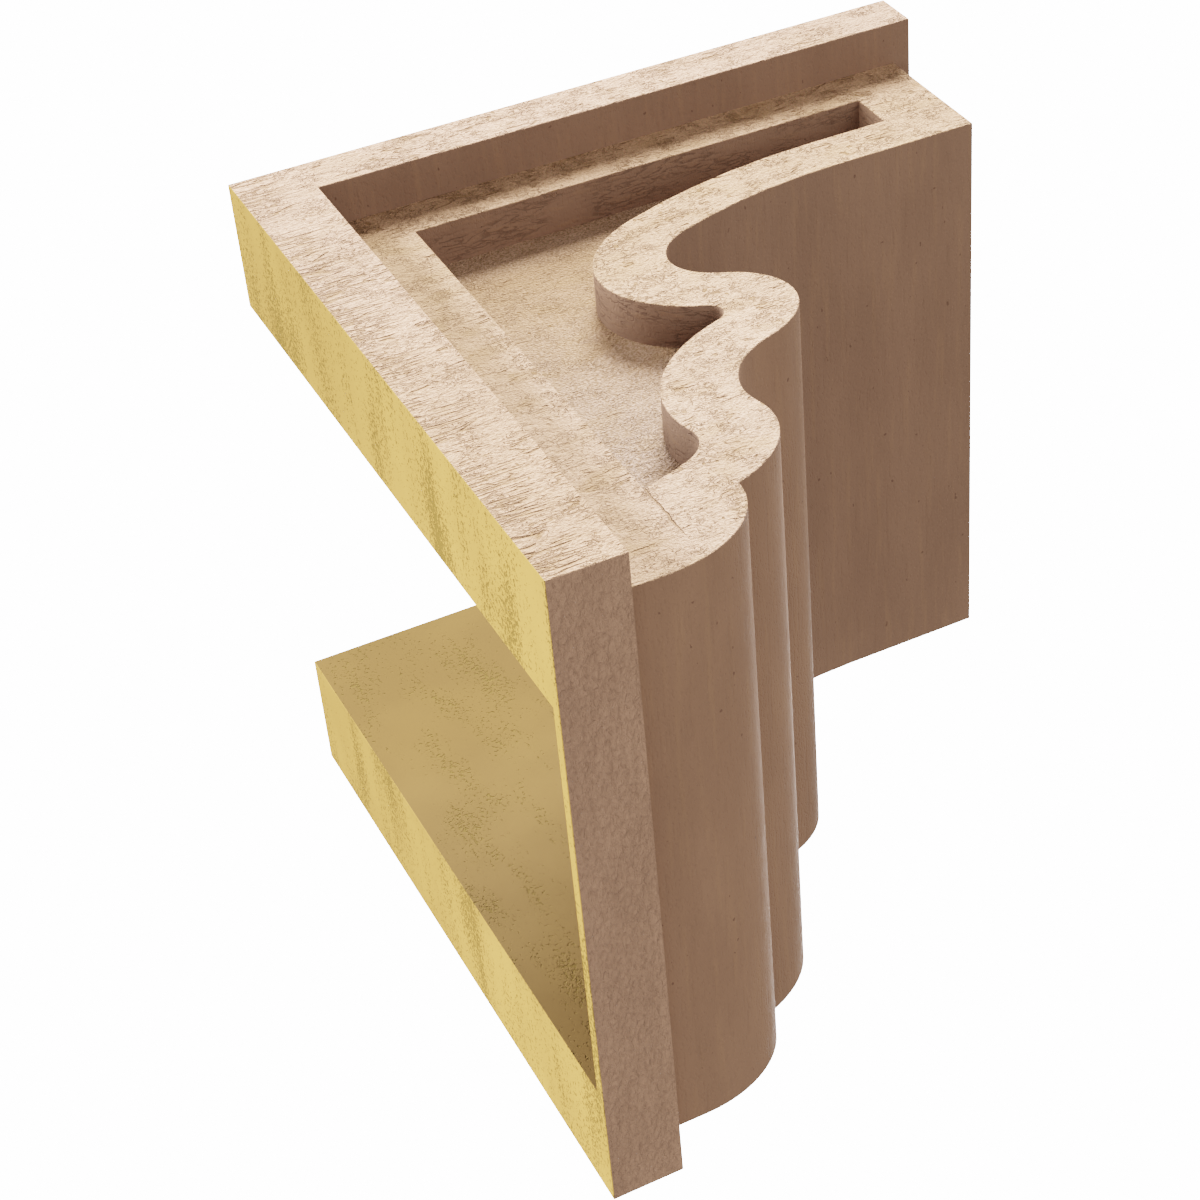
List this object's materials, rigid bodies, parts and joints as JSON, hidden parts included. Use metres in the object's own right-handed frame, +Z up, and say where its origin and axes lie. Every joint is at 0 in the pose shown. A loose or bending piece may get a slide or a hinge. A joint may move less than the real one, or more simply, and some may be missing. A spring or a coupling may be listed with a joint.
{
  "type": "corbel",
  "caption": "Moulded faux-wood corbel with a scrolled underside, stepped cheeks and a hollow open at the back and top.",
  "frame": {"origin": "middle of the thin foot edge, on the wall plane", "axes": "+Z up, +Y into the wall, so the corbel reaches out to -Y; the width is along X"},
  "size_m": [0.2032, 0.2032, 0.2033],
  "materials": {
    "tan_finish": "matt primed tan, moulded with a rough wood grain",
    "raw_foam": "bare yellow moulded foam with dark specks, dull"
  },
  "bodies": {
    "root": {"corbel": "tan_finish"}
  },
  "joints": []
}
